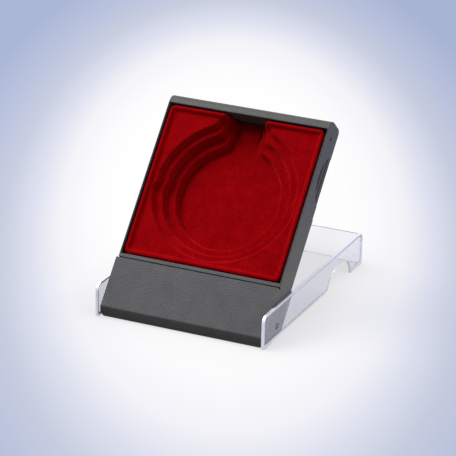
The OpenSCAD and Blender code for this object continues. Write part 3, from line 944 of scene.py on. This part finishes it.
# %% Make the insert
def insert_tree():
    """The plan with its corners rounded, lifted by the height rule and given a fine nap."""
    tree, size = new_rule_tree("stepped_insert", SEAT_SIZES)
    mesh, x, y, drop = lay_plan(tree, size)
    corner = size["Corner radius"]
    length = (size["Upper end"] - size["Lower end"]) * 0.5
    middle = size["Lower end"] + length
    a = (x.size() - size["Half width"] + corner).high(0.0)
    b = ((y - middle).size() - length + corner).high(0.0)
    both = a.low(b).math("GREATER_THAN", 0.0)
    pull = (a.high(b) / length_of(a, b).high(0.001) - 1.0) * both
    x = x + a * pull * x.math("SIGN")
    y = y + b * pull * (y - middle).math("SIGN")
    plan = node(tree, "ShaderNodeCombineXYZ", X=x.socket, Y=y.socket)
    cloud = node(tree, "ShaderNodeTexNoise", Vector=plan.outputs[0], Scale=0.12, Detail=2.0)
    wobble = (Rule(tree, cloud.outputs["Fac"]) - 0.5) * WOBBLE
    nap = node(tree, "ShaderNodeTexNoise", Vector=plan.outputs[0], Scale=0.55, Detail=2.0)
    height = height_rule(size, x, y, wobble) + (Rule(tree, nap.outputs["Fac"]) - 0.5) * NAP
    height = height + (size["Skirt"] - height) * drop
    place = node(tree, "ShaderNodeCombineXYZ", X=x.socket, Y=y.socket, Z=height.socket)
    moved = node(tree, "GeometryNodeSetPosition", Geometry=mesh, Position=place.outputs[0])
    merged = node(tree, "GeometryNodeMergeByDistance", Geometry=moved.outputs[0], Distance=0.004)
    end_tree(tree, merged.outputs[0], red_flock)
    return tree


def make_insert():
    """The formed face by the rule, given the thickness of its sheet below."""
    insert = run_rule("flocked_insert", insert_tree(), SEAT_SIZES)
    shape = bmesh.new()
    shape.from_mesh(insert.data)
    bmesh.ops.dissolve_degenerate(shape, dist=0.002, edges=shape.edges)
    up = sum(f.normal.z * f.calc_area() for f in shape.faces)
    if up < 0:
        bmesh.ops.reverse_faces(shape, faces=shape.faces)
    shape.to_mesh(insert.data)
    shape.free()
    wall = insert.modifiers.new("sheet", "SOLIDIFY")
    wall.thickness, wall.offset = SHEET, -1
    return settle(insert)


set_down(make_insert(), LEANED, red_flock, "tray", ["insert"],
         smooth_below=70, flat_faces=False)
print("rule nodes in the insert:", len(bpy.data.node_groups["stepped_insert"].nodes))

# %% [markdown]
# ## The hinge pins
# Two short plastic pins join the tray to the ears of the lid. Only their ends show, flush in
# the clear ears. Each is a rod with a small chamfer, which catches a dot of light.

# %% Make the pins
PIN_R, PIN_IN, EAR_OUT, PIN_GAP = 1.5, 36.8, 43.4, 0.03


def make_pins():
    """Both pins as one piece."""
    long = EAR_OUT - PIN_IN
    pins = [rod("hinge_pin_pair", (side * (PIN_IN + long / 2), 0, 0), PIN_R, long, chamfer=0.25)
            for side in (-1, 1)]
    shape = bmesh.new()
    for pin in pins:
        shape.from_mesh(pin.data)
        bpy.data.objects.remove(pin)
    return finish_mesh("hinge_pin_pair", shape)


set_down(make_pins(), LEVEL, pin_plastic, "tray", ["hinge_pins"])

# %% [markdown]
# ## The lid
# The lid is the stand: a clear shallow cover with its open side down. Its side walls run
# forward into rounded ears that carry the pins, and each has a long finger notch. Glass has
# to be one closed solid, or its inner faces would show, so the outer form is pushed across
# in one piece and a single core is cut out of it, like the two halves of a mould.

# %% Sizes of the lid
LID_HALF, LID_IN = 43.4, 42.0
LID_END, LID_IN_END = 104.6, 103.2
FOOT, RIM, LID_TOP, LID_UNDER = -6.5, -5.2, 10.1, 8.7
EAR, EAR_R, EAR_TOE_R, EAR_FOOT, LID_EDGE_R = -15.4, 4.0, 2.0, 9.9, 3.5
NOTCH_LONG, NOTCH_HIGH = 29.0, 8.8
PANEL_NEAR, PANEL_NEAR_UNDER = 19.24, 18.02
PIP_HIGH, PIP_SUNK = 0.45, 0.15
RIM_WIDE = 0.9
RIM_FAR = LID_IN_END - 1.0
BROAD = 0.97
# Planes that split the faces where a rim's finish begins: the axis they cross, and where.
RIM_LINES = [(0, -LID_IN), (0, LID_IN), (1, PANEL_NEAR), (1, RIM_FAR), (1, EAR + RIM_WIDE),
             (2, RIM + RIM_WIDE), (2, LID_TOP - RIM_WIDE)]


# %% Make the lid
def make_lid():
    """Outer form, less one core and the pin holes, with the snap pips added."""
    outer = arc((EAR + EAR_R, LID_TOP - EAR_R), EAR_R, 180, 90, 12)
    outer += arc((LID_END - LID_EDGE_R, LID_TOP - LID_EDGE_R), LID_EDGE_R, 90, 0, 12)
    outer += [(LID_END, FOOT), (GRIP_AT + NOTCH_LONG / 2, FOOT)]
    notch = [(GRIP_AT + NOTCH_LONG / 2 * math.cos(a), RIM + NOTCH_HIGH * math.sin(a))
             for a in np.linspace(0, math.pi, 33)]
    outer += notch + [(EAR + EAR_FOOT, RIM), (EAR + EAR_FOOT - 0.9, FOOT)]
    outer += arc((EAR + EAR_TOE_R, FOOT + EAR_TOE_R), EAR_TOE_R, 270, 180, 8)
    lid = pushed("clear_lid", outer, -LID_HALF, LID_HALF)
    inner_r = LID_EDGE_R - 1.4
    core = [(-60, RIM - 30), (LID_IN_END, RIM - 30)]
    core += arc((LID_IN_END - inner_r, LID_UNDER - inner_r), inner_r, 0, 90, 8)
    core += [(PANEL_NEAR_UNDER, LID_UNDER), (PANEL_NEAR, LID_TOP),
             (PANEL_NEAR + 4.35, LID_TOP + 5), (-60, LID_TOP + 5)]
    joined(lid, [pushed("core", core, -LID_IN, LID_IN)])
    soften(lid, width=0.3, sharper_than=30)
    joined(lid, [rod("pin_hole", (side * LID_HALF, 0, 0), PIN_R + PIN_GAP, length=4.0)
                 for side in (-1, 1)])
    joined(lid, [pip(side) for side in (-1, 1)], "UNION")
    shape = bmesh.new()
    shape.from_mesh(lid.data)
    for axis, place in RIM_LINES:
        point, across = Vector((0, 0, 0)), Vector((0, 0, 0))
        point[axis], across[axis] = place, 1
        bmesh.ops.bisect_plane(shape, geom=shape.verts[:] + shape.edges[:] + shape.faces[:],
                               plane_co=point, plane_no=across)
    shape.to_mesh(lid.data)
    shape.free()
    return lid


def pip(side):
    """A low dome inside the wall, which snaps into the tray."""
    bead = bmesh.new()
    bmesh.ops.create_uvsphere(bead, u_segments=20, v_segments=12, radius=SNAP_R)
    for v in bead.verts:
        v.co = Vector((v.co.x * PIP_HIGH / SNAP_R + side * (LID_IN + PIP_SUNK),
                       v.co.y + SNAP_AT, v.co.z + SNAP_UP))
    return finish_mesh("pip", bead)


def on_wall(middle, normal):
    """True for the broad faces of the two side walls."""
    return abs(middle.x) > LID_IN - 0.1 and abs(normal.x) > BROAD


def on_rim(middle, normal):
    """True for the rims and corners of the side walls."""
    if abs(middle.x) < LID_IN - 0.1:
        return False
    edge = (middle.z > LID_TOP - RIM_WIDE or middle.z < RIM + RIM_WIDE
            or middle.y < EAR + RIM_WIDE or middle.y > RIM_FAR)
    narrow = abs(normal.x) < BROAD and abs(middle.x) > LID_IN + 0.1
    return edge or narrow


set_down(make_lid(), LEVEL, clear_plastic, "lid", ["lid"], smooth_below=25,
         others=[(side_plastic, on_wall), (milky_rim_painted_light, on_rim)])

# %% [markdown]
# ## The adhesive pads
# Four foam pads under the insert hold it to the tray. They are simple cut squares and the
# CAD model has their shape, so they stay as they are and only get the look of foam.

# %% Finish the pads
for slot in frame["nodes"]["adhesive_pads"].material_slots:
    slot.material = pad_foam
